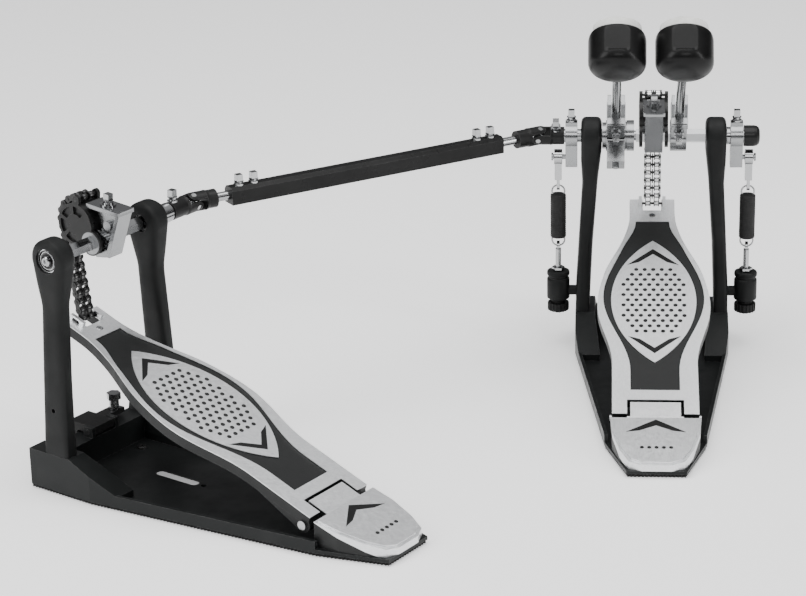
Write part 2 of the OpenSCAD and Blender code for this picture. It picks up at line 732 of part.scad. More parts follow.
// ---------------------------------------------------------------- drive shaft
// Draws with X along the drive shaft from the left joint, turned so that its forks stand up
module on_shaft() {
    translate([left_joint[0], left_joint[1], axle_h]) rotate(shaft_yaw) rotate([shaft_phase, 0, 0]) children();
}
channel_x0 = 34;
module shaft_yokes() {
    color([0.1, 0.1, 0.1]) on_shaft() {
        rotate([90, 0, 0]) rotate([0, 0, 180]) yoke(9, 4);
        translate([span_l, 0, 0]) rotate([90, 0, 0]) yoke(12, 4);
    }
}
module shaft_rods() {
    color([0.82, 0.83, 0.84]) on_shaft() {
        x_bar(4, 14.2, 170);
        x_bar(4, 176, span_l - 14.2);
    }
}
module shaft_channel() {
    w = channel_w / 2;
    color([0.09, 0.09, 0.09]) on_shaft() rotate([-shaft_phase, 0, 0]) difference() {
        side_plate(channel_x0, channel_x0 + channel_l)
            polygon([[-w, -w], [w, -w], [w, w - 3], [w - 3, w], [3 - w, w], [-w, w - 3]]);
        x_bar(4, 0, 400);
    }
}
module shaft_key_bolts() {
    color([0.82, 0.83, 0.84]) on_shaft() rotate([-shaft_phase, 0, 0])
        for (x = [10, 24, channel_l - 24, channel_l - 10])
            translate([channel_x0 + x, 0, channel_w / 2]) key_bolt(0, 6);
}

// ---------------------------------------------------------------- springs
module spring(s) {
    color([0.06, 0.06, 0.06]) translate([s * spring_x, 0, 0]) {
        translate([0, 0, sleeve_z0]) cylinder(r = sleeve_r, h = sleeve_z1 - sleeve_z0);
        for (z = [sleeve_z0 - 2.6, sleeve_z1 + 2.6]) translate([0, 0, z]) rotate([90, 0, 0])
            rotate_extrude() translate([5.8, 0]) circle(r = coil_wire / 2, $fn = 16);
    }
}
// Knuckle round the lever's pin and the flat hook that holds the spring's upper loop
module spring_hook(s) {
    color([0.8, 0.81, 0.82]) translate([s * spring_x, 0, 0]) {
        difference() {
            union() {
                x_bar(7, -3.6, 3.6, 0, pin_z);
                translate([-3.2, -4.5, pin_z - 21]) cube([6.4, 9, 16]);
            }
            x_bar(spring_pin_r + 2.4, -10, 10, 0, pin_z);
        }
        difference() {
            side_plate(-1.4, 1.4) union() {
                translate([0, sleeve_z1 + 8.5]) circle(r = 4.4);
                translate([-4.4, sleeve_z1 + 8.5]) square([8.8, pin_z - 8 - sleeve_z1 - 8.5]);
            }
            x_bar(1.7, -10, 10, 0, sleeve_z1 + 8.2);
        }
    }
}
// Threaded eye bolt that hangs in the tension holder
module spring_rod(s) {
    eye_z = sleeve_z0 - 8.2;
    color([0.8, 0.81, 0.82]) translate([s * spring_x, 0, 0]) {
        difference() {
            union() {
                x_bar(4.2, -1.4, 1.4, 0, eye_z);
                translate([0, 0, 30]) cylinder(r = 2.6, h = eye_z - 33);
            }
            x_bar(1.7, -10, 10, 0, eye_z);
        }
        translate([0, 0, holder_z1 + 0.9]) cylinder(r = 6, h = 2.4, $fn = 6);
        x_bar(1.6, -4.3, 4.3, 0, tension_z);
    }
}
module tension_nut(s) {
    color([0.1, 0.1, 0.1]) translate([s * spring_x, 0, 33]) difference() {
        union() {
            cylinder(r = 9.2, h = 7.5);
            translate([0, 0, 7.5]) cylinder(r = 6.4, h = 2.2);
            for (i = [0 : 17]) rotate(i * 20) translate([9.2, 0, 0]) cylinder(r = 0.7, h = 7.5, $fn = 16);
        }
        translate([0, 0, -over]) cylinder(r = 2.6 + eps, h = 20);
    }
}

// ---------------------------------------------------------------- hoop clamp
// Upper jaw: it swings down on its pin and its toothed pad grips the hoop
module hoop_jaw(left) {
    color([0.1, 0.1, 0.1]) pedal(left) {
        difference() {
            union() {
                side_plate(-jaw_hw, jaw_hw) polygon([
                    [11, 30], [31, 30], [34, 20], [50, 19], [51, 24], [40, 36.5], [11, 36.5]]);
                for (y = [33 : 4 : 49]) translate([-jaw_hw, y, 18.4]) cube([2 * jaw_hw, 2, 3]);
                translate([9, 21, 31.5]) cube([27, 11, 4.5]);
            }
            x_bar(2, -20, 20, jaw_y, jaw_z);
            translate([hoop_bolt[0], hoop_bolt[1], 0]) cylinder(r = 3.6, h = 60);
        }
        x_bar(2, -16.5, 16.5, jaw_y, jaw_z);
    }
}
module hoop_bolt_set(left) {
    color([0.8, 0.81, 0.82]) pedal(left) translate([hoop_bolt[0], hoop_bolt[1], 0]) {
        translate([0, 0, 9]) cylinder(r = 2.5, h = 38);
        translate([0, 0, 36.3]) cylinder(r = 5, h = 1.4);
        translate([0, 0, 38.4]) cylinder(r = 4.2, h = 7);
        translate([0, 0, 45.4]) cylinder(r = 6.2, h = 5.6, $fn = 6);
    }
}

base(false);  // right_base
base(true);  // left_base
mat(false);  // right_mat
mat(true);  // left_mat
heel(false);  // right_heel
heel(true);  // left_heel
posts(false);  // right_posts
posts(true);  // left_posts
axle_bearings();
hinge_pins();
footboard(false);  // right_footboard
footboard(true);  // left_footboard
right_axle();
chain_wheel(false);  // right_chain_wheel
cam_clamp(false);  // right_cam_clamp
right_beater_hub();
right_spring_lever();
right_axle_cap();
right_key_bolts();
chain_wrap(false);  // right_chain_wrap
chain_upper_link(false);  // right_chain_upper_link
chain_lower_link(false);  // right_chain_lower_link
chain_run(false);  // right_chain_run
beater_shaft(1);  // right_beater_shaft
beater_core(1);  // right_beater_core
beater_felt(1);  // right_beater_felt
slave_beater_hub();
slave_spring_lever();
slave_yoke();
slave_key_bolts();
beater_shaft(0);  // left_beater_shaft
beater_core(0);  // left_beater_core
beater_felt(0);  // left_beater_felt
right_joint_cross();
left_joint_cross();
shaft_channel();
shaft_rods();
shaft_yokes();
shaft_key_bolts();
left_axle();
chain_wheel(true);  // left_chain_wheel
cam_clamp(true);  // left_cam_clamp
left_yoke();
left_key_bolts();
chain_wrap(true);  // left_chain_wrap
chain_upper_link(true);  // left_chain_upper_link
chain_lower_link(true);  // left_chain_lower_link
chain_run(true);  // left_chain_run
spring(1);  // right_spring
spring(-1);  // left_spring
spring_hook(1);  // right_spring_hook
spring_hook(-1);  // left_spring_hook
spring_rod(1);  // right_spring_rod
spring_rod(-1);  // left_spring_rod
tension_nut(1);  // right_tension_nut
tension_nut(-1);  // left_tension_nut
hoop_jaw(false);  // right_hoop_jaw
hoop_jaw(true);  // left_hoop_jaw
hoop_bolt_set(false);  // right_hoop_bolt
hoop_bolt_set(true);  // left_hoop_bolt
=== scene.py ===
import json
import math

import bmesh
import bpy
from mathutils import Matrix, Vector, noise


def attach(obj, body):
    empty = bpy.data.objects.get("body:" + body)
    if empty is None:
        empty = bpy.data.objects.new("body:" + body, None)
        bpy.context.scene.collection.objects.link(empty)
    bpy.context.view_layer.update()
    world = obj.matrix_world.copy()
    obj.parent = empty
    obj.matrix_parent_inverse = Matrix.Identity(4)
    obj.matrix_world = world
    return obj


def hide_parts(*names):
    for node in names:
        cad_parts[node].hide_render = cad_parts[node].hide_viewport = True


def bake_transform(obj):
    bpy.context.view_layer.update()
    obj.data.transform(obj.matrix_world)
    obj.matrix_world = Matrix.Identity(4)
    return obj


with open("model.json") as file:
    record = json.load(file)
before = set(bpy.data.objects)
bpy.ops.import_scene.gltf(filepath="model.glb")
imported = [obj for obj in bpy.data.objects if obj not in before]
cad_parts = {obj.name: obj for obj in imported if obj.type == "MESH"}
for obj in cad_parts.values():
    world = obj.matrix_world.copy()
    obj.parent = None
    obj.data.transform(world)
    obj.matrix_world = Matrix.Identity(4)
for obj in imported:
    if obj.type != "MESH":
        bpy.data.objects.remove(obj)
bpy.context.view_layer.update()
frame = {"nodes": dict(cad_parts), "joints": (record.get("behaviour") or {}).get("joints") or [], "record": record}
NODES = frame["nodes"]
MM = 0.001


# ------------------------------------------------------------ the part's own places
# Sizes are in millimetres in each pedal's own frame: X along the axle, Y towards the drum.
AXLE_H = 201.0
BOARD_SLOPE = math.radians(20.93)
BOARD_Y, BOARD_Z = -236.2, 28.6
HEEL_SLOPE = math.radians(13.8)
BEATER_LEAN = math.radians(50)
BEATER_REACH = 180.0
BEATER_R = 24.5
BEATER_X = {"left": -34.0, "right": 22.0}
HEAD_R = 17.2                  # bulb at the top of a post
HEAD_FOOT_Z = AXLE_H - 6.0     # where the post turns into the bulb
BORE_R, SEAT_R = 7.4, 10.3     # the axle's hole and the bearing's seat in it
SEAT_X = 48.9                  # where the seat begins
TENSION_Z = 44.5               # foot of the tension holder
ARM_Z = 52.0                   # height of the arm that carries it
TOOL_X = 80.0                  # where cutting tools end, outside the post
TOE_SCREW_S = 262.0            # along the footboard
HINGE_GAP = (5.6, 0.3)         # heel plate's upper end, behind and below the footboard's
FOOT_H = 35.0
SPRING_X = 86.0
SLEEVE_Z = (104.0, 145.5)
LEFT_YAW = math.radians(58.15)


def pedal_matrix(side):
    """Millimetres in a pedal's own frame to metres in the row frame."""
    scale = Matrix.Scale(MM, 4)
    if side == "right":
        return scale
    # the left axle is as long on both sides of its bearings, so their middle is its origin
    joint = next(j for j in frame["joints"] if j["name"] == "left_axle_turn")
    x, y, _ = joint["pos_m"]
    return Matrix.Translation((x, y, 0)) @ Matrix.Rotation(LEFT_YAW, 4, "Z") @ scale


def board_matrix(side):
    """Across, along the slope and above the top face, to the row frame."""
    return (pedal_matrix(side) @ Matrix.Translation((0, BOARD_Y, BOARD_Z))
            @ Matrix.Rotation(BOARD_SLOPE, 4, "X"))


def heel_matrix(side):
    return (pedal_matrix(side) @ Matrix.Translation((0, BOARD_Y - HINGE_GAP[0], BOARD_Z - HINGE_GAP[1]))
            @ Matrix.Rotation(HEEL_SLOPE, 4, "X"))


def beater_matrix(side):
    """Z along the beater's shaft from the axle, Y towards the drum."""
    return (Matrix.Scale(MM, 4) @ Matrix.Translation((BEATER_X[side], 0, AXLE_H))
            @ Matrix.Rotation(BEATER_LEAN, 4, "X"))


# ------------------------------------------------------------ camera, floor and light
def make_camera():
    pan, tilt, roll = math.radians(-4.84), math.radians(20.45), math.radians(-1.36)
    forward = Vector((math.sin(pan) * math.cos(tilt), math.cos(pan) * math.cos(tilt), -math.sin(tilt)))
    right = Vector((math.cos(pan), -math.sin(pan), 0))
    up = right.cross(forward)
    turned_right = right * math.cos(roll) + up * math.sin(roll)
    turned_up = up * math.cos(roll) - right * math.sin(roll)
    data = bpy.data.cameras.new("camera")
    data.lens = 112.06
    data.sensor_width = 36
    data.clip_start = 0.05
    camera = bpy.data.objects.new("camera", data)
    bpy.context.scene.collection.objects.link(camera)
    axes = Matrix((turned_right, turned_up, -forward)).transposed().to_4x4()
    camera.matrix_world = Matrix.Translation((-0.04559, -2.187, 0.8612)) @ axes
    bpy.context.scene.camera = camera


def aim(obj, target):
    obj.rotation_euler = (Vector(target) - obj.location).to_track_quat("-Z", "Y").to_euler()


def area_light(name, place, target, size, power):
    data = bpy.data.lights.new(name, "AREA")
    data.shape = "RECTANGLE"
    data.size, data.size_y = size
    data.energy = power
    light = bpy.data.objects.new(name, data)
    bpy.context.scene.collection.objects.link(light)
    light.location = place
    aim(light, target)


def make_studio():
    world = bpy.data.worlds.new("studio")
    bpy.context.scene.world = world
    world.use_nodes = True
    nodes, links = world.node_tree.nodes, world.node_tree.links
    nodes.clear()
    out = nodes.new("ShaderNodeOutputWorld")
    back = nodes.new("ShaderNodeBackground")
    coord = nodes.new("ShaderNodeTexCoord")
    split = nodes.new("ShaderNodeSeparateXYZ")
    ramp = nodes.new("ShaderNodeValToRGB")
    for position, grey in ((0.0, 0.05), (0.3, 0.09), (0.62, 0.62)):
        stop = ramp.color_ramp.elements.new(position)
        stop.color = (grey, grey, grey * 1.02, 1)
    ramp.color_ramp.elements.remove(ramp.color_ramp.elements[0])
    ramp.color_ramp.elements[-1].color = (0.8, 0.8, 0.8, 1)
    links.new(coord.outputs["Generated"], split.inputs[0])
    links.new(split.outputs["Z"], ramp.inputs[0])
    links.new(ramp.outputs[0], back.inputs["Color"])
    back.inputs["Strength"].default_value = 0.9
    links.new(back.outputs[0], out.inputs[0])
    target = (-0.2, -0.15, 0.1)
    area_light("overhead", (-0.2, -0.3, 2.4), target, (2.6, 2.0), 62)
    area_light("left_soft", (-2.2, -1.4, 1.3), target, (1.0, 1.8), 34)
    area_light("right_strip", (1.9, -1.0, 0.9), target, (0.35, 1.8), 18)
    area_light("front_fill", (0.2, -2.9, 1.9), target, (1.8, 0.8), 20)


def make_floor():
    mesh = bpy.data.meshes.new("floor")
    size = 7.0
    corners = [(-size, -size, 0), (size, -size, 0), (size, size, 0), (-size, size, 0)]
    mesh.from_pydata(corners, [], [(0, 1, 2, 3)])
    floor = bpy.data.objects.new("floor", mesh)
    bpy.context.scene.collection.objects.link(floor)
    floor.location.z = -0.0002
    material = bpy.data.materials.new("studio_floor")
    material.use_nodes = True
    shader = material.node_tree.nodes["Principled BSDF"]
    shader.inputs["Base Color"].default_value = (0.95, 0.95, 0.95, 1)
    shader.inputs["Emission Color"].default_value = (1, 1, 1, 1)
    shader.inputs["Emission Strength"].default_value = 0.35
    shader.inputs["Roughness"].default_value = 0.7
    shader.inputs["Specular IOR Level"].default_value = 0.1
    mesh.materials.append(material)


# ------------------------------------------------------------ materials
class Graph:
    """A material's nodes, with short calls for the patterns that the finishes share."""

    def __init__(self, name):
        self.material = bpy.data.materials.new(name)
        self.material.use_nodes = True
        self.nodes = self.material.node_tree.nodes
        self.links = self.material.node_tree.links
        self.shader = self.nodes["Principled BSDF"]
        self.coord = self.nodes.new("ShaderNodeTexCoord").outputs["Object"]

    def math(self, kind, a, b=0.0, c=None):
        node = self.nodes.new("ShaderNodeMath")
        node.operation = kind
        for socket, value in zip(node.inputs, (a, b, c)):
            if value is None:
                continue
            if isinstance(value, (int, float)):
                socket.default_value = value
            else:
                self.links.new(value, socket)
        return node.outputs[0]

    def noise(self, scale, detail=3.0, stretch=None, rough=0.5):
        node = self.nodes.new("ShaderNodeTexNoise")
        node.inputs["Scale"].default_value = scale
        node.inputs["Detail"].default_value = detail
        node.inputs["Roughness"].default_value = rough
        source = self.coord
        if stretch:
            mapping = self.nodes.new("ShaderNodeMapping")
            mapping.inputs["Scale"].default_value = stretch
            self.links.new(self.coord, mapping.inputs[0])
            source = mapping.outputs[0]
        self.links.new(source, node.inputs["Vector"])
        return node.outputs["Fac"]

    def ramp(self, value, low, high, out_low=0.0, out_high=1.0):
        node = self.nodes.new("ShaderNodeMapRange")
        node.inputs["From Min"].default_value = low
        node.inputs["From Max"].default_value = high
        node.inputs["To Min"].default_value = out_low
        node.inputs["To Max"].default_value = out_high
        self.links.new(value, node.inputs["Value"])
        return node.outputs[0]

    def mix(self, factor, a, b):
        node = self.nodes.new("ShaderNodeMix")
        node.data_type = "RGBA"
        self.links.new(factor, node.inputs["Factor"])
        for name, value in (("A", a), ("B", b)):
            socket = next(s for s in node.inputs if s.name == name and s.type == "RGBA")
            if isinstance(value, tuple):
                socket.default_value = (*value, 1)
            else:
                self.links.new(value, socket)
        return next(s for s in node.outputs if s.type == "RGBA")

    def edges(self, radius=0.0009, low=0.02, high=0.2):
        """1 along convex and concave edges, broken up by noise, 0 on flats."""
        bevel = self.nodes.new("ShaderNodeBevel")
        bevel.samples = 4
        bevel.inputs["Radius"].default_value = radius
        geometry = self.nodes.new("ShaderNodeNewGeometry")
        dot = self.nodes.new("ShaderNodeVectorMath")
        dot.operation = "DOT_PRODUCT"
        self.links.new(bevel.outputs[0], dot.inputs[0])
        self.links.new(geometry.outputs["Normal"], dot.inputs[1])
        bend = self.math("SUBTRACT", 1.0, dot.outputs["Value"])
        breaks = self.ramp(self.noise(260, 4), 0.35, 0.65)
        # this edge mask is rubbed wear in the painted, rubber and cast finishes, and painted shade where plated()
        # darkens chrome edges
        edge_wear_and_shade = self.math("MULTIPLY", self.ramp(bend, low, high), breaks)
        return self.math("MINIMUM", edge_wear_and_shade, 1.0)

    def bump(self, height, strength, distance=0.0004):
        node = self.nodes.new("ShaderNodeBump")
        node.inputs["Strength"].default_value = strength
        node.inputs["Distance"].default_value = distance
        self.links.new(height, node.inputs["Height"])
        self.links.new(node.outputs[0], self.shader.inputs["Normal"])

    def put(self, socket, value):
        target = self.shader.inputs[socket]
        if isinstance(value, (int, float)):
            target.default_value = value
        elif isinstance(value, tuple):
            target.default_value = (*value, 1) if len(value) == 3 else value
        else:
            self.links.new(value, target)


def plated(name, tint, rough=0.12, spots=0.10, edge=0.42, end=None, metal=1.0):
    """Chrome or nickel plate: faint orange peel, smudged roughness, and painted shade that darkens it along its
    edges.
    """
    g = Graph(name)
    edge_wear_and_shade = g.edges(0.0012)
    shade = g.mix(g.ramp(g.noise(30, 4), 0.3, 0.7), tint, tuple(c * 0.88 for c in tint))
    # painted shade: the edges are darkened to the tint times the edge factor, standing for dark reflections along
    # them
    shade = g.mix(edge_wear_and_shade, shade, tuple(c * edge for c in tint))
    if end:
        # a near-black ring around the screw in the axle's outer end
        ring = band(g, axle_radius(g, end), 4.3, 7.2)
        seat = g.math("MULTIPLY", ring, band(g, local_x(g, end), 62.9, 64.2))
        shade = g.mix(seat, shade, (0.02, 0.02, 0.02))
    g.put("Base Color", shade)
    g.put("Metallic", metal)
    g.put("Roughness", g.ramp(g.noise(70, 5), 0.3, 0.75, rough, rough + spots))
    g.bump(g.noise(240, 3), 0.03, 0.0003)
    return g.material


def coated(name, color, rough=0.42, grain=1300, depth=0.35):
    """Black paint or powder coat on metal: fine grain, dusty patches, rubbed edges."""
    g = Graph(name)
    edge_wear_and_shade = g.math("MULTIPLY", g.edges(0.0011), 0.75)
    dust = g.ramp(g.noise(22, 5), 0.45, 0.8, 0.0, 0.5)
    body = g.mix(dust, color, tuple(c + 0.012 for c in color))
    g.put("Base Color", g.mix(edge_wear_and_shade, body, (0.10, 0.10, 0.10)))
    g.put("Roughness", g.ramp(g.noise(75, 5), 0.25, 0.75, rough - 0.07, rough + 0.13))
    g.put("Specular IOR Level", 0.16)
    g.bump(g.noise(grain, 2), depth, 0.0003)
    return g.material


def rubber(name, color, rough=0.75):
    g = Graph(name)
    chalk = g.ramp(g.noise(45, 6), 0.5, 0.85, 0.0, 0.5)
    body = g.mix(chalk, color, tuple(c + 0.018 for c in color))
    g.put("Base Color", g.mix(g.edges(0.0008), body, tuple(c + 0.03 for c in color)))
    g.put("Specular IOR Level", 0.3)
    g.put("Roughness", g.ramp(g.noise(180, 4), 0.3, 0.7, rough - 0.12, rough + 0.1))
    g.bump(g.noise(1500, 4), 0.4, 0.0003)
    return g.material


def plastic(name, color, rough=0.2, coat=0.5):
    """Moulded black plastic: soft gloss with fine scratches and finger marks."""
    g = Graph(name)
    marks = g.ramp(g.noise(34, 6, rough=0.65), 0.45, 0.75)
    g.put("Base Color", g.mix(marks, color, tuple(c + 0.004 for c in color)))
    scratches = g.ramp(g.noise(60, 4, stretch=(1, 14, 1)), 0.62, 0.8, 0.0, 0.05)
    g.put("Roughness", g.math("ADD", g.ramp(g.noise(48, 5), 0.3, 0.8, rough, rough + 0.07), scratches))
    g.put("Specular IOR Level", 0.14)
    g.put("Coat Weight", coat)
    g.put("Coat Roughness", 0.1)
    g.bump(g.noise(700, 3), 0.05, 0.0003)
    return g.material


def felt_material():
    g = Graph("pressed_felt")
    fibres = g.noise(900, 6, stretch=(1, 3, 1), rough=0.7)
    soil = g.ramp(g.noise(120, 6), 0.3, 0.75)
    g.put("Base Color", g.mix(soil, (0.86, 0.86, 0.83), (0.70, 0.70, 0.67)))
    g.put("Roughness", 0.95)
    g.put("Sheen Weight", 0.6)
    g.put("Sheen Roughness", 0.5)
    g.bump(fibres, 0.9, 0.0007)
    return g.material


def distance_along(g, matrix, axis):
    """Signed distance from a frame's origin along one of its axes, in millimetres."""
    direction = (matrix.to_3x3() @ Vector(axis)).normalized()
    dot = g.nodes.new("ShaderNodeVectorMath")
    dot.operation = "DOT_PRODUCT"
    g.links.new(g.coord, dot.inputs[0])
    dot.inputs[1].default_value = direction
    offset = g.math("SUBTRACT", dot.outputs["Value"], matrix.translation.dot(direction))
    return g.math("MULTIPLY", offset, 1000.0)


def local_x(g, side):
    """Distance across the pedal from its middle, in millimetres, without its sign."""
    return g.math("ABSOLUTE", distance_along(g, pedal_matrix(side), (1, 0, 0)))


def axle_radius(g, side):
    """Distance from the pedal's axle line, in millimetres."""
    place = pedal_matrix(side)
    axis = (place.to_3x3() @ Vector((1, 0, 0))).normalized()
    away = g.nodes.new("ShaderNodeVectorMath")
    away.operation = "SUBTRACT"
    g.links.new(g.coord, away.inputs[0])
    away.inputs[1].default_value = place @ Vector((0, 0, AXLE_H))
    cross = g.nodes.new("ShaderNodeVectorMath")
    cross.operation = "CROSS_PRODUCT"
    g.links.new(away.outputs[0], cross.inputs[0])
    cross.inputs[1].default_value = axis
    length = g.nodes.new("ShaderNodeVectorMath")
    length.operation = "LENGTH"
    g.links.new(cross.outputs[0], length.inputs[0])
    return g.math("MULTIPLY", length.outputs["Value"], 1000.0)


def nearest_axle_radius(g):
    return g.math("MINIMUM", axle_radius(g, "right"), axle_radius(g, "left"))


def band(g, value, low, high, soft=0.12):
    """1 where the value lies between low and high."""
    above = g.ramp(value, low - soft, low + soft)
    return g.math("MULTIPLY", above, g.ramp(value, high - soft, high + soft, 1.0, 0.0))


def chain_finish(side, plate, roller):
    """Roller chain: oiled dark plates, rollers between them in a tone given per chain, which is painted light and
    shade: near-white on the right chain, dark grey on the left.
    """
    g = Graph(f"{side}_chain_finish")
    rollers = band(g, local_x(g, side), 2.26, 5.55)
    oil = g.ramp(g.noise(240, 5), 0.35, 0.7)
    dark = g.mix(oil, plate, tuple(c * 0.55 for c in plate))
    bright = g.mix(oil, roller, tuple(c * 0.8 for c in roller))
    g.put("Base Color", g.mix(rollers, dark, bright))
    g.put("Metallic", 0.9)
    rough = g.ramp(g.noise(420, 4), 0.3, 0.7, 0.26, 0.42)
    g.put("Roughness", g.math("SUBTRACT", rough, g.math("MULTIPLY", rollers, 0.12)))
    g.bump(g.noise(1100, 3), 0.2, 0.0002)
    return g.material


def bearing_finish():
    """Turned bearing ends: bright races, with near-black between and around them for the seals' own black and for
    painted shade in the grooves.
    """
    g = Graph("bearing_races")
    radius = nearest_axle_radius(g)
    bright = g.math("MAXIMUM", band(g, radius, 7.0, 7.7), band(g, radius, 9.0, 9.7))
    smear = g.ramp(g.noise(180, 5), 0.3, 0.7)
    silver = g.mix(smear, (0.74, 0.75, 0.76), (0.6, 0.61, 0.62))
    # near-black outside the two race bands: the seals' real black, plus painted shade in the grooves and the
    # crevice at the seat
    g.put("Base Color", g.mix(bright, (0.02, 0.02, 0.02), silver))
    g.put("Metallic", g.math("MULTIPLY", bright, 0.95))
    g.put("Roughness", g.ramp(g.noise(300, 4), 0.3, 0.7, 0.16, 0.32))
    g.bump(g.noise(900, 3), 0.12, 0.0002)
    return g.material


def wheel_finish():
    """Black chain wheel with its boss, around the axle, left bright like the clamp."""
    g = Graph("wheel_black_boss")
    radius = nearest_axle_radius(g)
    boss = g.ramp(radius, 9.2, 9.5, 1.0, 0.0)
    edge_wear_and_shade = g.math("MULTIPLY", g.edges(0.0011), 0.6)
    dust = g.ramp(g.noise(22, 5), 0.45, 0.8, 0.0, 0.5)
    black = g.mix(dust, (0.008, 0.008, 0.008), (0.018, 0.018, 0.018))
    g.put("Base Color", g.mix(boss, g.mix(edge_wear_and_shade, black, (0.1, 0.1, 0.1)), (0.28, 0.285, 0.29)))
    g.put("Metallic", boss)
    g.put("Specular IOR Level", 0.3)
    g.put("Roughness", g.ramp(g.noise(150, 5), 0.3, 0.75, 0.26, 0.42))
    g.bump(g.noise(700, 3), 0.12, 0.0003)
    return g.material


def cast_two_tone(name, matrices, along):
    """Bare machined top faces on a casting whose recesses and sides are satin black."""
    g = Graph(name)
    top = None
    for matrix in matrices:
        level = g.ramp(distance_along(g, matrix, (0, 0, 1)), -0.75, -0.6)
        top = level if top is None else g.math("MAXIMUM", top, level)
    edge_wear_and_shade = g.edges(0.0009)
    stretch = (60, 60, 60)
    brushed = g.noise(14, 5, stretch=tuple(s * k for s, k in zip(stretch, along)), rough=0.6)
    bright = g.mix(g.ramp(brushed, 0.3, 0.7), (0.86, 0.87, 0.88), (0.70, 0.71, 0.72))
    cloudy = g.mix(g.ramp(g.noise(16, 5), 0.35, 0.75, 0.0, 0.5), bright, (0.74, 0.745, 0.75))
    black = g.mix(edge_wear_and_shade, (0.008, 0.0085, 0.0085), (0.08, 0.08, 0.08))
    g.put("Specular IOR Level", 0.3)
    g.put("Base Color", g.mix(top, black, cloudy))
    g.put("Metallic", g.math("MULTIPLY", top, 0.92))
    rough_top = g.ramp(g.noise(300, 5), 0.3, 0.75, 0.30, 0.44)
    rough_black = g.ramp(g.noise(90, 5), 0.3, 0.75, 0.36, 0.52)
    difference = g.math("SUBTRACT", rough_top, rough_black)
    g.put("Roughness", g.math("MULTIPLY_ADD", difference, top, rough_black))
    grain = g.math("MULTIPLY_ADD", g.noise(1400, 3), 0.6, g.math("MULTIPLY", brushed, 0.4))
    g.bump(grain, 0.28, 0.0003)
    return g.material


def make_materials():
    made = {
        "mat_rubber": rubber("mat_rubber", (0.012, 0.012, 0.012), 0.78),
        "base_steel": coated("base_satin_black", (0.010, 0.011, 0.011), 0.34, 900, 0.22),
        "post_coat": coated("post_powder_coat", (0.007, 0.0075, 0.0075), 0.46, 1500, 0.4),
        "bearing_steel": bearing_finish(),
        "wheel_black": coated("wheel_black", (0.008, 0.008, 0.008), 0.34, 1100, 0.25),
        "bright_chrome": plated("bright_chrome", (0.33, 0.335, 0.34), 0.1, 0.08),
        "satin_chrome": plated("satin_chrome", (0.31, 0.315, 0.32), 0.2, 0.1),
        "bolt_chrome": plated("bolt_chrome", (0.44, 0.445, 0.45), 0.13, 0.12),
        "beater_plastic": plastic("beater_gloss_black", (0.004, 0.004, 0.004), 0.3, 0.05),
        "beater_felt": felt_material(),
        "black_steel": coated("black_oxide", (0.009, 0.009, 0.009), 0.33, 1000, 0.2),
        "channel_coat": coated("channel_black", (0.008, 0.008, 0.008), 0.27, 1200, 0.18),
        "cap_plastic": plastic("cap_black", (0.008, 0.008, 0.008), 0.34, 0.1),
        "knob_black": plastic("knob_black", (0.009, 0.009, 0.009), 0.42, 0.05),
        "spring_sleeve": rubber("sleeve_rubber", (0.009, 0.009, 0.009), 0.6),
        "jaw_coat": coated("jaw_black", (0.010, 0.010, 0.010), 0.42, 1000, 0.3),
    }
    for side in ("right", "left"):
        along = (1, 0.12, 1) if side == "right" else (0.35, 0.8, 1)
        made["board_" + side] = cast_two_tone(f"{side}_board_finish", [board_matrix(side)], along)
        planes = [heel_matrix(side), board_matrix(side)]
        made["heel_" + side] = cast_two_tone(f"{side}_heel_finish", planes, along)
    # painted highlight and painted shade: the same rollers are tinted near-white on the right chain and dark grey
    # on the left, lit and shaded copies of one finish
    made["chain_right"] = chain_finish("right", (0.06, 0.06, 0.06), (0.86, 0.86, 0.86))
    made["chain_left"] = chain_finish("left", (0.06, 0.06, 0.06), (0.22, 0.22, 0.22))
    made["wheel_boss"] = wheel_finish()
    made["left_axle"] = plated("left_axle_chrome", (0.40, 0.405, 0.41), 0.1, 0.08, end="left")
    made["slot_plate"] = plated("slot_zinc", (0.92, 0.92, 0.92), 0.45, 0.15, edge=0.8, metal=0.2)
    return made


# ------------------------------------------------------------ building helpers
def new_piece(name, verts, faces, matrix=None, material=None, smooth=40):
    mesh = bpy.data.meshes.new(name)
    mesh.from_pydata([tuple(v) for v in verts], [], faces)
    if matrix is not None:
        mesh.transform(matrix)
    bm = bmesh.new()
    bm.from_mesh(mesh)
    bmesh.ops.remove_doubles(bm, verts=bm.verts, dist=1e-7)
    bmesh.ops.recalc_face_normals(bm, faces=bm.faces)
    bm.to_mesh(mesh)
    bm.free()
    obj = bpy.data.objects.new(name, mesh)
    bpy.context.scene.collection.objects.link(obj)
    if material:
        mesh.materials.append(material)
    smooth_by_angle(mesh, smooth)
    return obj


def smooth_by_angle(mesh, degrees):
    mesh.shade_smooth()
    mesh.set_sharp_from_angle(angle=math.radians(degrees))


def lathe(profile, steps=96):
    """Vertices and faces of a turned shape about Z from (radius, height) points."""
    verts, faces = [], []
    for r, z in profile:
        for i in range(steps):
            a = 2 * math.pi * i / steps
            verts.append((r * math.cos(a), r * math.sin(a), z))
    for j in range(len(profile) - 1):
        for i in range(steps):
            k = (i + 1) % steps
            faces.append((j * steps + i, j * steps + k, (j + 1) * steps + k, (j + 1) * steps + i))
    if profile[0][0] > 1e-6:
        faces.append(tuple(range(steps - 1, -1, -1)))
    if profile[-1][0] > 1e-6:
        faces.append(tuple((len(profile) - 1) * steps + i for i in range(steps)))
    return verts, faces


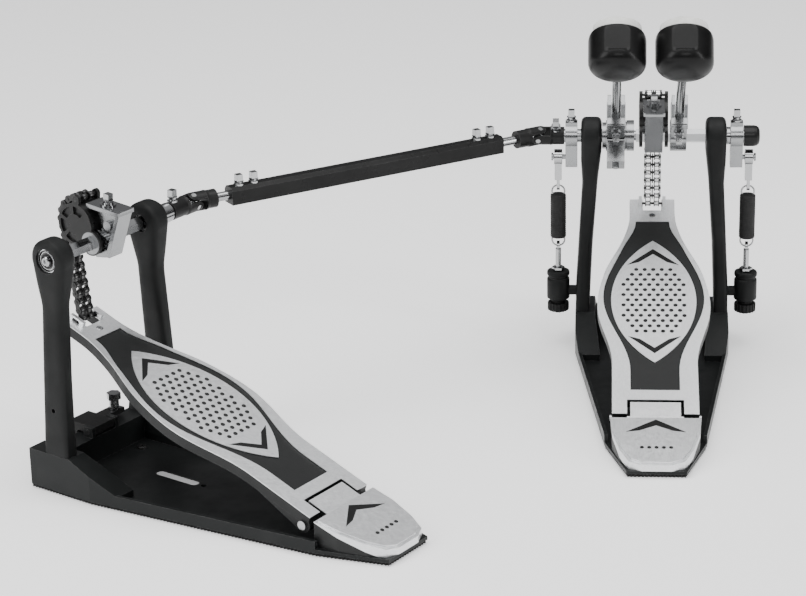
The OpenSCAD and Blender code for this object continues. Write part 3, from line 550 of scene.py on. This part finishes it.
def tube(points, radius, sides):
    """Vertices and faces of a round wire through a list of points."""
    points = [Vector(p) for p in points]
    last = len(points) - 1
    verts, faces = [], []
    side = None
    for i, p in enumerate(points):
        direction = (points[min(i + 1, last)] - points[max(i - 1, 0)]).normalized()
        if side is None:
            side = direction.orthogonal().normalized()
        side = (side - direction * side.dot(direction)).normalized()
        other = direction.cross(side)
        for k in range(sides):
            a = 2 * math.pi * k / sides
            verts.append(p + (side * math.cos(a) + other * math.sin(a)) * radius)
    for i in range(last):
        for k in range(sides):
            a, b = i * sides, (i + 1) * sides
            faces.append((a + k, a + (k + 1) % sides, b + (k + 1) % sides, b + k))
    faces.append(tuple(range(sides - 1, -1, -1)))
    faces.append(tuple(last * sides + k for k in range(sides)))
    return verts, faces


def prism(outline, low, high):
    """Vertices and faces of an outline in XY, extruded in Z."""
    n = len(outline)
    verts = [(x, y, low) for x, y in outline] + [(x, y, high) for x, y in outline]
    faces = [tuple(range(n - 1, -1, -1)), tuple(range(n, 2 * n))]
    faces += [(i, (i + 1) % n, n + (i + 1) % n, n + i) for i in range(n)]
    return verts, faces


def soften(obj, width, segments=3, angle=35):
    bevel = obj.modifiers.new("edge", "BEVEL")
    bevel.width = width * MM
    bevel.segments = segments
    bevel.limit_method = "ANGLE"
    bevel.angle_limit = math.radians(angle)
    bevel.harden_normals = False
    bevel.use_clamp_overlap = True


# ------------------------------------------------------------ carried-over CAD nodes
BEVELS = {  # edge rounding of CAD nodes, in millimetres
    "right_base": 0.9, "left_base": 0.9, "right_heel": 0.5, "left_heel": 0.5,
    "right_footboard": 0.45, "left_footboard": 0.45,
    "right_cam_clamp": 0.6, "left_cam_clamp": 0.6,
    "right_beater_hub": 0.7, "slave_beater_hub": 0.7,
    "right_spring_lever": 0.8, "slave_spring_lever": 0.8,
    "shaft_channel": 0.6, "right_hoop_jaw": 0.7, "left_hoop_jaw": 0.7,
}


def finish_cad_nodes(materials):
    slots = {s["node"]: s["material_slot"] for s in frame["record"]["subparts"]}
    for name, obj in NODES.items():
        side = name.split("_")[0]
        if name.endswith("_footboard"):
            material = materials["board_" + side]
        elif name.endswith("_heel"):
            material = materials["heel_" + side]
        elif name == "left_axle":
            material = materials["left_axle"]
        elif name.endswith("_chain_wheel"):
            material = materials["wheel_boss"]
        elif "_chain_" in name:
            material = materials["chain_" + side]
        else:
            material = materials[slots[name]]
        if obj.material_slots:
            for s in obj.material_slots:
                s.material = material
        else:
            obj.data.materials.append(material)
        if name in BEVELS:
            soften(obj, BEVELS[name])


# ------------------------------------------------------------ posts
def between(z, points):
    """Linear value at z through (z, value) points."""
    for (z0, v0), (z1, v1) in zip(points, points[1:]):
        if z <= z1:
            t = max(0.0, (z - z0) / (z1 - z0))
            return v0 + (v1 - v0) * t
    return points[-1][1]


def post_section(z):
    """(inner x, outer x, half depth) of the post on the +X side."""
    top = AXLE_H + HEAD_R
    inner = between(z, [(FOOT_H, 57.1), (100, 54.3), (160, 50.0), (190, 46.6), (top, 46.5)])
    outer = between(z, [(FOOT_H, 69.8), (60, 69.6), (158, 64.2), (178, 65.3), (top, 65.5)])
    depth = between(z, [(FOOT_H, 13.0), (163, 11.0), (194, 16.3), (top, 0.0)])
    if z > HEAD_FOOT_Z:
        depth = math.sqrt(max(0.0, HEAD_R ** 2 - (z - AXLE_H) ** 2))
    return inner, outer, depth


def rounded_ring(cx, hx, hy, z, power, steps):
    """One level of a post: a rectangle whose corners round off."""
    ring = []
    for i in range(steps):
        a = 2 * math.pi * (i + 0.5) / steps
        c, s = math.cos(a), math.sin(a)
        ring.append((cx + hx * math.copysign(abs(c) ** (2 / power), c),
                     hy * math.copysign(abs(s) ** (2 / power), s), z))
    return ring


def post_shell(sign):
    steps = 48
    levels = [FOOT_H + 3.5 * i for i in range(46)]
    levels = [z for z in levels if z < HEAD_FOOT_Z]
    levels += [AXLE_H + HEAD_R * math.sin(math.radians(a)) for a in range(-18, 88, 4)]
    verts, faces = [], []
    for z in levels:
        inner, outer, depth = post_section(z)
        high = max(0.0, (z - AXLE_H) / HEAD_R)
        half = (outer - inner) / 2 * (1 - 0.45 * high ** 7)
        power = between(z, [(FOOT_H, 7), (60, 4.2), (165, 3.6), (200, 5), (218, 5)])
        verts += rounded_ring(sign * (inner + outer) / 2, half, max(depth, 0.6), z, power, steps)
    for j in range(len(levels) - 1):
        for i in range(steps):
            k = (i + 1) % steps
            faces.append((j * steps + i, j * steps + k, (j + 1) * steps + k, (j + 1) * steps + i))
    faces.append(tuple(range(steps - 1, -1, -1)))
    faces.append(tuple((len(levels) - 1) * steps + i for i in range(steps)))
    return verts, faces


def apply_modifiers(obj):
    """Bakes an object's modifiers into its mesh."""
    graph = bpy.context.evaluated_depsgraph_get()
    mesh = bpy.data.meshes.new_from_object(obj.evaluated_get(graph))
    obj.modifiers.clear()
    obj.data = mesh
    return obj


def cut(obj, tools):
    """Cuts the tool objects out of obj, and removes them."""
    for tool in tools:
        modifier = obj.modifiers.new("cut", "BOOLEAN")
        modifier.operation = "DIFFERENCE"
        modifier.solver = "EXACT"
        modifier.object = tool
    bpy.context.view_layer.update()
    apply_modifiers(obj)
    for tool in tools:
        bpy.data.objects.remove(tool)
    return obj


def x_rod(name, radius, x0, x1, y, z, matrix, steps=64):
    verts, faces = lathe([(radius, 0), (radius, x1 - x0)], steps)
    turn = Matrix.Translation((x0, y, z)) @ Matrix.Rotation(math.pi / 2, 4, "Y")
    return new_piece(name, verts, faces, matrix @ turn)


def build_posts(side):
    place = pedal_matrix(side)
    for sign, end in ((1, "a"), (-1, "b")):
        post = new_piece(f"{side}_post_{end}", *post_shell(sign), place, materials["post_coat"], 50)
        x0, x1 = sorted((sign * 40, sign * TOOL_X))
        tools = [x_rod("bore_tool", BORE_R, x0, x1, 0, AXLE_H, place)]
        x0, x1 = sorted((sign * SEAT_X, sign * TOOL_X))
        tools.append(x_rod("seat_tool", SEAT_R, x0, x1, 0, AXLE_H, place))
        x0, x1 = sorted((sign * 62, sign * TOOL_X))
        tools.append(x_rod("hole_tool", 2.0, x0, x1, 0, 74, place, 24))
        cut(post, tools)
        smooth_by_angle(post.data, 42)
        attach(post, "frame")
        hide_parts(f"{side}_posts")
        if side == "right":
            build_tension_holder(sign, place)


def build_tension_holder(sign, place):
    """Round housing on its arm, with a grooved collar, for the spring's threaded rod."""
    end = "a" if sign > 0 else "b"
    outline = [(4.6, 0.3), (4.9, 0), (9.4, 0), (10.2, 0.4), (10.5, 1.2), (10.5, 18.6), (10.2, 19.5),
               (9.3, 20.2), (9.3, 22.2), (10.2, 22.8), (10.5, 23.5), (10.5, 25.6), (10.1, 26.6), (9.2, 27),
               (4.9, 27), (4.6, 26.7)]
    sides = 72
    verts, faces = lathe(outline, sides)
    # the housing is a pipe: its end caps give way to an inner wall
    faces = [f for f in faces if len(f) == 4]
    last = (len(outline) - 1) * sides
    faces += [(last + i, last + (i + 1) % sides, (i + 1) % sides, i) for i in range(sides)]
    at = place @ Matrix.Translation((sign * SPRING_X, 0, TENSION_Z))
    holder = new_piece(f"tension_holder_{end}", verts, faces, at, materials["post_coat"], 35)
    verts, faces = tube([(sign * x, 0, ARM_Z) for x in range(67, 80, 3)], 4.6, 32)
    arm = new_piece(f"tension_arm_{end}", verts, faces, place, materials["post_coat"], 35)
    for piece in (holder, arm):
        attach(piece, "frame")


# ------------------------------------------------------------ rubber mats
def toothed_outline(corners, pitch, depth):
    """The outline with small V teeth cut into its edges."""
    points = []
    n = len(corners)
    for i in range(n):
        a, b = Vector(corners[i]), Vector(corners[(i + 1) % n])
        length = (b - a).length
        count = max(1, round(length / pitch))
        inward = Vector((-(b - a).y, (b - a).x)).normalized() * depth
        for k in range(count):
            points.append(tuple(a + (b - a) * (k / count)))
            points.append(tuple(a + (b - a) * ((k + 0.5) / count) + inward))
    return points


def build_mat(side):
    left = [(-69, 30), (-69, -35), (-42, -245), (-24, -302)]
    right = [(-x, y) for x, y in reversed(left)]
    outline = toothed_outline(left + right, 3.2, 1.4)
    mat = new_piece(f"{side}_toothed_mat", *prism(outline, 0.0, 2.95), pedal_matrix(side),
                    materials["mat_rubber"], 30)
    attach(mat, "frame")
    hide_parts(f"{side}_mat")


# ------------------------------------------------------------ beaters
def head_matrix(side):
    """Z along the strike, from the middle of the beater's head."""
    return (beater_matrix(side) @ Matrix.Translation((0, 0, BEATER_REACH))
            @ Matrix.Rotation(-math.pi / 2, 4, "X"))


def build_beater(side):
    dome = []
    for i in range(1, 29):
        a = math.radians(90 * i / 28)
        dome.append((BEATER_R * math.sin(a) ** 0.62, -23 + 13 * (1 - math.cos(a) ** 0.85)))
    wall = [(BEATER_R, -8 + 2 * i) for i in range(9)]
    rim = [(BEATER_R - step, z) for step, z in (
        (0.25, 9.8), (0.7, 11.8), (1.5, 13.6), (2.6, 14.7), (3.1, 14.9), (3.4, 14.4), (3.5, 11.2))]
    rim.append((0.0, 11.1))
    verts, faces = lathe([(0.0, -23.0)] + dome + wall + rim, 160)
    flat = 22.1    # height of the flat on the cup's upper side
    verts = [(x, -flat if y < -flat and z > -9 else y, z) for x, y, z in verts]
    at = head_matrix(side)
    cup = new_piece(f"{side}_beater_cup", verts, faces, at, materials["beater_plastic"], 24)
    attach(cup, f"{side}_beater")
    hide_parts(f"{side}_beater_core")

    radius = BEATER_R - 3.6
    face = [(radius, 11.2)] + [(radius, 12 + 0.9 * i) for i in range(10)]
    for i in range(1, 9):
        a = math.radians(90 * i / 8)
        face.append((radius - 2.2 * (1 - math.cos(a)), 20.6 + 2.2 * math.sin(a)))
    inner = radius - 2.2
    for i in range(1, 15):
        face.append((inner * (1 - i / 14), 22.8 + 0.9 * math.sin(math.radians(90 * i / 14))))
    verts, faces = lathe(face, 140)
    rough = []
    for x, y, z in verts:
        p = Vector((x, y, z))
        lump = noise.noise(p * 0.16) * 0.28 + noise.noise(p * 0.9) * 0.12 + noise.noise(p * 2.4) * 0.05
        r = max(math.hypot(x, y), 1e-6)
        out = min(1.0, r / radius)
        rough.append((x + x / r * (lump - 0.2) * out, y + y / r * (lump - 0.2) * out,
                      min(z + (lump - 0.25) * (1.0 if z > 20 else 0.0), 23.9)))
    felt = new_piece(f"{side}_felt_face", rough, faces, at, materials["beater_felt"], 60)
    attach(felt, f"{side}_beater")
    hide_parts(f"{side}_beater_felt")


# ------------------------------------------------------------ springs
def build_spring(side):
    sign = 1 if side == "right" else -1
    at = Matrix.Scale(MM, 4) @ Matrix.Translation((sign * SPRING_X, 0, 0))
    low, high = SLEEVE_Z
    profile = [(5.2, low), (6.4, low + 0.1), (6.95, low + 0.6)]
    ribs = 19
    for i in range(ribs * 4 + 1):
        z = low + 1.4 + (high - low - 2.8) * i / (ribs * 4)
        profile.append((7.12 + 0.16 * math.sin(2 * math.pi * i / 4 + 0.6), z))
    profile += [(6.95, high - 0.6), (6.4, high - 0.1), (5.2, high)]
    sleeve = new_piece(f"{side}_spring_sleeve", *lathe(profile, 56), at, materials["spring_sleeve"], 60)
    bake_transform(sleeve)
    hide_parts(f"{side}_spring")
    for name, z, body, turn in (("lower", low - 2.6, "rod", 1), ("upper", high + 2.6, "hook", -1)):
        # the coil's last turn stands up as a loop, and its wire runs back into the sleeve
        loop = [(5.8 * math.sin(math.radians(a)), 0, z - turn * 5.8 * math.cos(math.radians(a)))
                for a in range(-165, 166, 10)]
        loop += [(3.6, 0.8, z + turn * 6.6), (4.4, 1.8, z + turn * 8.2)]
        wire = new_piece(f"{side}_spring_loop_{name}", *tube(loop, 0.78, 14), at,
                         materials["bolt_chrome"], 60)
        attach(wire, f"{side}_spring_{body}")


# ------------------------------------------------------------ footboard and heel details
def dome_patch(points, radius, height, steps=20):
    """Low round studs at (x, y) points on a plane."""
    verts, faces = [], []
    for px, py in points:
        v, f = lathe([(radius, -0.25), (radius, height * 0.45), (radius * 0.86, height * 0.82),
                      (radius * 0.55, height)], steps)
        start = len(verts)
        verts += [(x + px, y + py, z) for x, y, z in v]
        faces += [tuple(start + i for i in face) for face in f]
    return verts, faces


def chevron(apex, arm_x, arm_y, thick, low, high):
    """A plain V whose arms thin out towards their tips."""
    tip_y, inner_y = apex - arm_y, apex - arm_y * 0.72 - thick * 0.35
    outline = [(0, apex), (arm_x, tip_y), (arm_x * 0.55, inner_y),
               (0, apex - thick), (-arm_x * 0.55, inner_y), (-arm_x, tip_y)]
    if thick < 0:
        outline.reverse()
    return prism(outline, low, high)


LENS_MID, LENS_HALF_L, LENS_HALF_W = 144.5, 81.0, 37.4


def in_lens(x, s, margin):
    r = (LENS_HALF_L ** 2 + LENS_HALF_W ** 2) / (2 * LENS_HALF_W)
    return abs(x) + r - LENS_HALF_W + margin < math.sqrt(max(0.0, r * r - (s - LENS_MID) ** 2))


def build_board_details(side):
    board = board_matrix(side)
    body = f"{side}_footboard"
    studs = []
    pitch = 7.6
    for j in range(-7, 8):
        s = LENS_MID + j * pitch * 0.9
        for i in range(-5, 6):
            x = (i + (0.5 if j % 2 else 0)) * pitch
            if in_lens(x, s, 7.5) and abs(s - LENS_MID) < 47:
                studs.append((x, s))
    pieces = [(f"{side}_grip_studs", dome_patch(studs, 1.9, 0.55), "mat_rubber", 40)]
    for name, apex, direction in (("toe", 214, 1), ("heel", 75, -1)):
        pieces.append((f"{side}_lens_chevron_{name}",
                       chevron(apex, 23, 22 * direction, 7 * direction, -0.2, 0.12), "wheel_black", 30))
    pieces.append((f"{side}_board_screw", lathe(
        [(0, -0.9), (1.0, -0.9), (1.15, -0.15), (2.3, -0.1), (2.75, -0.4), (2.85, -0.9), (2.85, -1.2),
         (0, -1.2)], 36), "bolt_chrome", 30))
    for name, shape, slot, angle in pieces:
        at = board @ Matrix.Translation((0, TOE_SCREW_S, 0)) if name.endswith("screw") else board
        piece = new_piece(name, *shape, at, materials[slot], angle)
        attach(piece, body)
    heel = heel_matrix(side)
    heel_pieces = [
        (f"{side}_heel_chevron", chevron(-4, 25, 17, 8, -0.2, 0.14), "wheel_black", 30),
        (f"{side}_heel_studs", dome_patch([(x, -42) for x in range(-12, 13, 6)], 1.7, 0.5),
         "mat_rubber", 40)]
    for name, shape, slot, angle in heel_pieces:
        piece = new_piece(name, *shape, heel, materials[slot], angle)
        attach(piece, "frame")


# ------------------------------------------------------------ base details
def stadium(half_w, y0, y1, steps=16):
    """Outline of a long round-ended plate along Y."""
    points = []
    for mid, start in ((y1, 0), (y0, 180)):
        for i in range(steps + 1):
            a = math.radians(start + 180 * i / steps)
            points.append((half_w * math.cos(a), mid + half_w * math.sin(a)))
    return points


def build_base_details(side):
    place = pedal_matrix(side)
    insert = new_piece(f"{side}_slot_plate", *prism(stadium(4.15, -86, -50), 3.0, 5.3), place,
                       materials["slot_plate"], 30)
    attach(insert, "frame")
    for x in (-30, 30):
        screw = new_piece(f"{side}_base_screw_{'a' if x > 0 else 'b'}", *lathe(
            [(0, 0.6), (1.3, 0.6), (1.3, 1.8), (3.4, 1.9), (4.2, 1.4), (4.6, 0.2), (4.6, 0), (0, 0)], 40),
            place @ Matrix.Translation((x, -2, 6.0)), materials["black_steel"], 30)
        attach(screw, "frame")


make_camera()
make_studio()
make_floor()
materials = make_materials()
finish_cad_nodes(materials)
for pedal_side in ("right", "left"):
    build_posts(pedal_side)
    build_mat(pedal_side)
    build_beater(pedal_side)
    build_spring(pedal_side)
    build_board_details(pedal_side)
    build_base_details(pedal_side)
